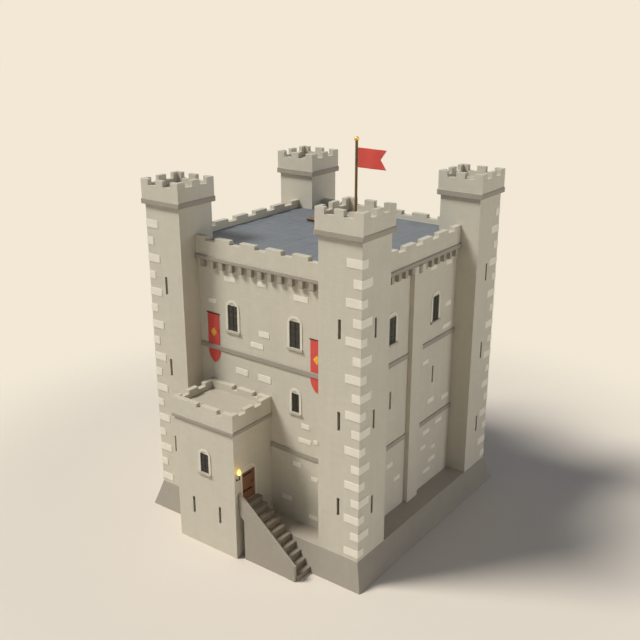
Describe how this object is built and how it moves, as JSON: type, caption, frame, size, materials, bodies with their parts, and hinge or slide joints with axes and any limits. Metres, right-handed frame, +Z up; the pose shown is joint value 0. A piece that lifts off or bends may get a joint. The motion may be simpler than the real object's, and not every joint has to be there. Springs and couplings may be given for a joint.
{
  "type": "square stone castle keep",
  "caption": "Square stone keep with corner towers, battlements, a forebuilding with a hinged plank door and an outer stair.",
  "frame": {"origin": "centre of the keep on the ground", "axes": "+Z up, -Y out of the front, +X to the right of the front"},
  "size_m": [21.3, 23.43, 32.53],
  "materials": {
    "wall_stone": "coursed pale limestone masonry",
    "trim_stone": "darker tooled stone",
    "dressed_stone": "smooth pale dressed stone",
    "paving_stone": "worn stone paving",
    "roof_lead": "weathered lead sheet",
    "oak": "aged oak",
    "red_cloth": "woven wool cloth",
    "window_glass": "dark leaded glass",
    "iron": "forged black iron",
    "gilding": "gilded ball"
  },
  "bodies": {
    "keep": {"back_left_tower_end_walls": "wall_stone", "back_left_tower_side_walls": "wall_stone", "back_right_tower_end_walls": "wall_stone", "back_right_tower_side_walls": "wall_stone", "back_wall": "wall_stone", "banner_rods": "oak", "banners": "red_cloth", "battered_plinth": "trim_stone", "corbel_table": "trim_stone", "door_pintles": "iron", "entrance_stair": "paving_stone", "flag": "red_cloth", "flagpole": "oak", "flagpole_ball": "gilding", "forebuilding_door_head": "wall_stone", "forebuilding_door_piers": "wall_stone", "forebuilding_floors": "paving_stone", "forebuilding_front_wall": "wall_stone", "forebuilding_left_wall": "wall_stone", "forebuilding_parapet": "wall_stone", "forebuilding_right_wall_base": "wall_stone", "forebuilding_string": "trim_stone", "front_left_tower_end_walls": "wall_stone", "front_left_tower_side_walls": "wall_stone", "front_right_tower_end_walls": "wall_stone", "front_right_tower_side_walls": "wall_stone", "front_wall": "wall_stone", "left_wall": "wall_stone", "opening_surrounds": "dressed_stone", "parapet_strings": "trim_stone", "pilaster_buttresses": "wall_stone", "right_wall": "wall_stone", "roof_deck": "roof_lead", "roof_hatch": "oak", "stair_balustrade": "paving_stone", "storey_floors": "oak", "string_courses": "trim_stone", "torch_bracket": "iron", "tower_decks": "roof_lead", "tower_parapets": "wall_stone", "tower_string_bands": "trim_stone", "wall_parapets": "wall_stone", "window_panes": "window_glass", "window_sills": "trim_stone"},
    "entrance_door": {"door_leaf": "oak", "door_ironwork": "iron"}
  },
  "joints": [
    {"name": "entrance_door_hinge", "type": "hinge", "parent": "keep", "child": "entrance_door", "pos_m": [0.335, -11.785, 4.57], "axis": [0, 0, 1], "range_deg": [0, 90]}
  ]
}
